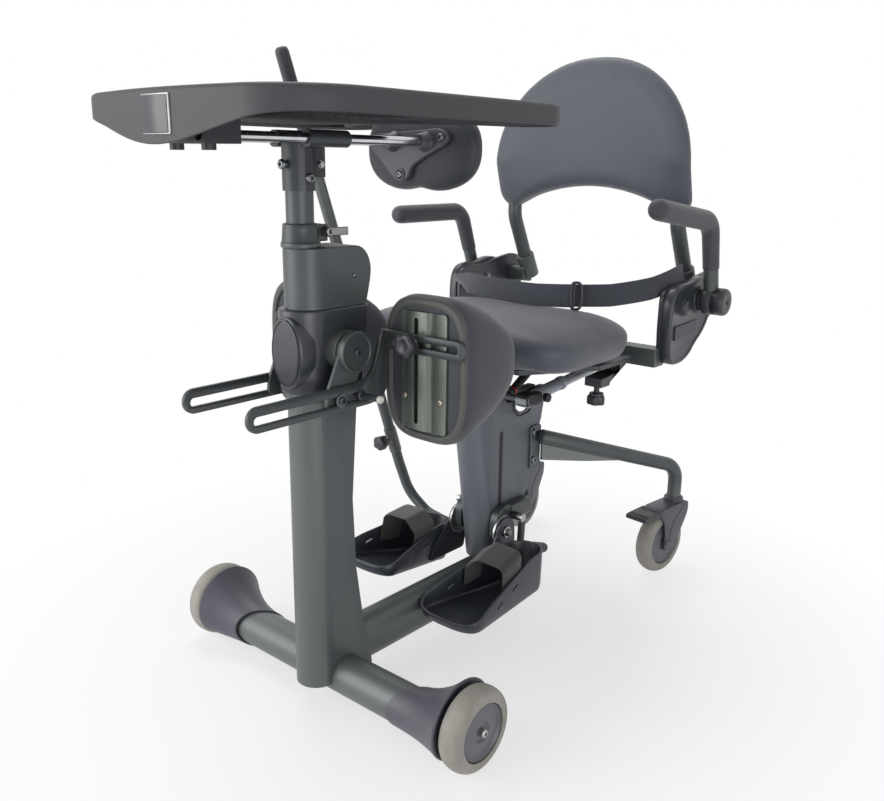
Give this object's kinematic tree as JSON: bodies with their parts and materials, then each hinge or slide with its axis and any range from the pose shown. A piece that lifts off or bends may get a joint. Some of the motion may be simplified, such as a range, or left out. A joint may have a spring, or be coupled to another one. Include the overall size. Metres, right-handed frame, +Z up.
{
  "type": "standing frame",
  "caption": "Sit-to-stand frame with a lifting seat, tray, chest and knee pads, foot plates, pump lever and wheels.",
  "frame": {"origin": "on the floor under the middle of the bounding box", "axes": "+Z up, the mast and tray at -Y, the seat towards +Y, the right-hand side at +X"},
  "size_m": [0.5724, 0.9834, 0.9295],
  "materials": {
    "frame_paint": "semi-gloss charcoal powder coat",
    "black_paint": "satin black powder coat",
    "column_paint": "semi-gloss grey powder coat",
    "moulded_black": "smooth black moulding",
    "grey_moulding": "satin grey moulding",
    "tray_plastic": "fine-grained dark grey moulding",
    "black_plastic": "satin near-black moulding",
    "vinyl": "smooth grey vinyl cover, soft sheen",
    "pad_foam": "dark grey skinned foam, matt",
    "tyre": "pale grey tyre on a grey moulded hub",
    "chrome": "polished",
    "rail": "satin grey anodised",
    "webbing": "woven dark webbing"
  },
  "bodies": {
    "frame": {"front_cross_tube": "frame_paint", "wheel_shroud_left": "grey_moulding", "wheel_shroud_right": "grey_moulding", "spine_tube": "frame_paint", "mast_post": "frame_paint", "mast_shell": "moulded_black", "mast_housing": "frame_paint", "mast_collar": "black_paint", "knee_web_left": "black_paint", "knee_web_right": "black_paint", "column": "column_paint", "lift_cylinder": "black_paint", "rear_leg_left": "frame_paint", "rear_leg_right": "frame_paint"},
    "collar_lever": {"collar_lever": "chrome"},
    "mast_upper": {"inner_tube": "frame_paint", "mast_head": "black_paint"},
    "rod_carriage": {"tray_rod_left": "chrome", "tray_rod_right": "chrome", "chest_bracket": "black_paint", "chest_pad": "pad_foam"},
    "tray": {"tray_block": "black_paint", "tray": "tray_plastic"},
    "lift_arm": {"lift_arm": "black_paint"},
    "seat": {"seat_cushion": "vinyl"},
    "hips": {"hip_frame": "frame_paint", "side_plate_left": "moulded_black", "side_plate_right": "moulded_black", "back_tube_left": "frame_paint", "back_tube_right": "frame_paint", "back_cushion": "vinyl", "lap_belt": "webbing"},
    "seat_link": {"parallel_link": "column_paint"},
    "cylinder_rod": {"cylinder_rod": "chrome"},
    "valve_lever": {"valve_lever": "black_plastic"},
    "pump_lever": {"pump_lever": "frame_paint"},
    "front_wheel_left": {"front_wheel_left": "tyre"},
    "knee_bar_left": {"knee_bar_left": "black_paint"},
    "knee_clamp_left": {"knee_knob_left": "black_plastic"},
    "knee_support_left": {"knee_rail_left": "rail", "knee_pad_left": "pad_foam"},
    "caster_fork_left": {"caster_fork_left": "grey_moulding"},
    "caster_wheel_left": {"caster_wheel_left": "tyre"},
    "brake_pedal_left": {"brake_pedal_left": "black_plastic"},
    "arm_left": {"arm_left": "black_plastic"},
    "foot_bracket_left": {"foot_bracket_left": "black_paint"},
    "foot_left": {"foot_plate_left": "black_plastic", "foot_strap_left": "webbing"},
    "front_wheel_right": {"front_wheel_right": "tyre"},
    "knee_bar_right": {"knee_bar_right": "black_paint"},
    "knee_clamp_right": {"knee_knob_right": "black_plastic"},
    "knee_support_right": {"knee_rail_right": "rail", "knee_pad_right": "pad_foam"},
    "caster_fork_right": {"caster_fork_right": "grey_moulding"},
    "caster_wheel_right": {"caster_wheel_right": "tyre"},
    "brake_pedal_right": {"brake_pedal_right": "black_plastic"},
    "arm_right": {"arm_right": "black_plastic"},
    "foot_bracket_right": {"foot_bracket_right": "black_paint"},
    "foot_right": {"foot_plate_right": "black_plastic", "foot_strap_right": "webbing"}
  },
  "joints": [
    {"name": "collar_lever_cam", "type": "hinge", "parent": "frame", "child": "collar_lever", "pos_m": [0.016, -0.2627, 0.6632], "axis": [1, 0, 0], "range_deg": [0, 95]},
    {"name": "mast_height", "type": "slide", "parent": "frame", "child": "mast_upper", "axis": [0, 0, 1], "range_m": [0, 0.15]},
    {"name": "rod_slide", "type": "slide", "parent": "mast_upper", "child": "rod_carriage", "axis": [0, 1, 0], "range_m": [-0.05, 0.05]},
    {"name": "tray_slide", "type": "slide", "parent": "rod_carriage", "child": "tray", "axis": [0, 1, 0], "range_m": [-0.02, 0.015]},
    {"name": "seat_lift", "type": "hinge", "parent": "frame", "child": "lift_arm", "pos_m": [0, 0.0483, 0.4245], "axis": [1, 0, 0], "range_deg": [0, 60]},
    {"name": "seat_depth", "type": "slide", "parent": "lift_arm", "child": "seat", "axis": [0, 1, 0], "range_m": [0, 0.012]},
    {"name": "hip_level", "type": "hinge", "parent": "lift_arm", "child": "hips", "pos_m": [0, 0.2733, 0.4465], "axis": [1, 0, 0], "range_deg": [-60, 0]},
    {"name": "link_swing", "type": "hinge", "parent": "frame", "child": "seat_link", "pos_m": [0.115, 0.0393, 0.4025], "axis": [1, 0, 0], "range_deg": [0, 60]},
    {"name": "cylinder_stroke", "type": "slide", "parent": "frame", "child": "cylinder_rod", "axis": [0, 0, 1], "range_m": [0, 0.0765]},
    {"name": "valve_tip", "type": "hinge", "parent": "frame", "child": "valve_lever", "pos_m": [0.049, 0.1433, 0.3665], "axis": [1, 0, 0], "range_deg": [0, 12], "stiffness_Nm_per_rad": 1},
    {"name": "pump_stroke", "type": "hinge", "parent": "frame", "child": "pump_lever", "pos_m": [-0.045, 0.1533, 0.0945], "axis": [1, 0, 0], "range_deg": [-6, 8]},
    {"name": "front_wheel_left_spin", "type": "hinge", "parent": "frame", "child": "front_wheel_left", "pos_m": [-0.2634, -0.2567, 0.05714], "axis": [1, 0, 0], "continuous": true},
    {"name": "knee_reach_left", "type": "slide", "parent": "frame", "child": "knee_bar_left", "axis": [0, 1, 0], "range_m": [-0.008, 0.01]},
    {"name": "knee_width_left", "type": "slide", "parent": "knee_bar_left", "child": "knee_clamp_left", "axis": [-1, 0, 0], "range_m": [0, 0.02]},
    {"name": "knee_height_left", "type": "slide", "parent": "knee_clamp_left", "child": "knee_support_left", "axis": [0, 0, 1], "range_m": [-0.028, 0.045]},
    {"name": "caster_left_swivel", "type": "hinge", "parent": "frame", "child": "caster_fork_left", "pos_m": [-0.165, 0.4703, 0.1415], "axis": [0, 0, 1], "continuous": true},
    {"name": "caster_left_spin", "type": "hinge", "parent": "caster_fork_left", "child": "caster_wheel_left", "pos_m": [-0.16025, 0.43159, 0.05962], "axis": [0.9925, 0.1219, 0], "continuous": true},
    {"name": "brake_left_tread", "type": "hinge", "parent": "caster_fork_left", "child": "brake_pedal_left", "pos_m": [-0.15714, 0.40628, 0.1245], "axis": [0.9925, 0.1219, 0], "range_deg": [0, 10]},
    {"name": "arm_left_flip", "type": "hinge", "parent": "hips", "child": "arm_left", "pos_m": [-0.25, 0.3693, 0.5325], "axis": [-1, 0, 0], "range_deg": [0, 90]},
    {"name": "foot_height_left", "type": "slide", "parent": "frame", "child": "foot_bracket_left", "axis": [0, 0, 1], "range_m": [0, 0.11]},
    {"name": "foot_angle_left", "type": "hinge", "parent": "foot_bracket_left", "child": "foot_left", "pos_m": [-0.0486, 0.0883, 0.1545], "axis": [1, 0, 0], "range_deg": [-5, 25]},
    {"name": "front_wheel_right_spin", "type": "hinge", "parent": "frame", "child": "front_wheel_right", "pos_m": [0.2634, -0.2567, 0.05714], "axis": [1, 0, 0], "continuous": true},
    {"name": "knee_reach_right", "type": "slide", "parent": "frame", "child": "knee_bar_right", "axis": [0, 1, 0], "range_m": [-0.008, 0.01]},
    {"name": "knee_width_right", "type": "slide", "parent": "knee_bar_right", "child": "knee_clamp_right", "axis": [1, 0, 0], "range_m": [-0.012, 0.03]},
    {"name": "knee_height_right", "type": "slide", "parent": "knee_clamp_right", "child": "knee_support_right", "axis": [0, 0, 1], "range_m": [-0.028, 0.045]},
    {"name": "caster_right_swivel", "type": "hinge", "parent": "frame", "child": "caster_fork_right", "pos_m": [0.165, 0.4703, 0.1415], "axis": [0, 0, 1], "continuous": true},
    {"name": "caster_right_spin", "type": "hinge", "parent": "caster_fork_right", "child": "caster_wheel_right", "pos_m": [0.16025, 0.43159, 0.05962], "axis": [0.9925, -0.1219, 0], "continuous": true},
    {"name": "brake_right_tread", "type": "hinge", "parent": "caster_fork_right", "child": "brake_pedal_right", "pos_m": [0.15714, 0.40628, 0.1245], "axis": [0.9925, -0.1219, 0], "range_deg": [0, 10]},
    {"name": "arm_right_flip", "type": "hinge", "parent": "hips", "child": "arm_right", "pos_m": [0.25, 0.3693, 0.5325], "axis": [-1, 0, 0], "range_deg": [0, 90]},
    {"name": "foot_height_right", "type": "slide", "parent": "frame", "child": "foot_bracket_right", "axis": [0, 0, 1], "range_m": [0, 0.11]},
    {"name": "foot_angle_right", "type": "hinge", "parent": "foot_bracket_right", "child": "foot_right", "pos_m": [0.0486, 0.0883, 0.1545], "axis": [1, 0, 0], "range_deg": [-15, 15]}
  ],
  "couplings": [
    {"joint": "hip_level", "follows": "seat_lift", "ratio": -1},
    {"joint": "link_swing", "follows": "seat_lift", "ratio": 1},
    {"joint": "cylinder_stroke", "follows": "seat_lift", "m_per_rad": 0.072}
  ]
}
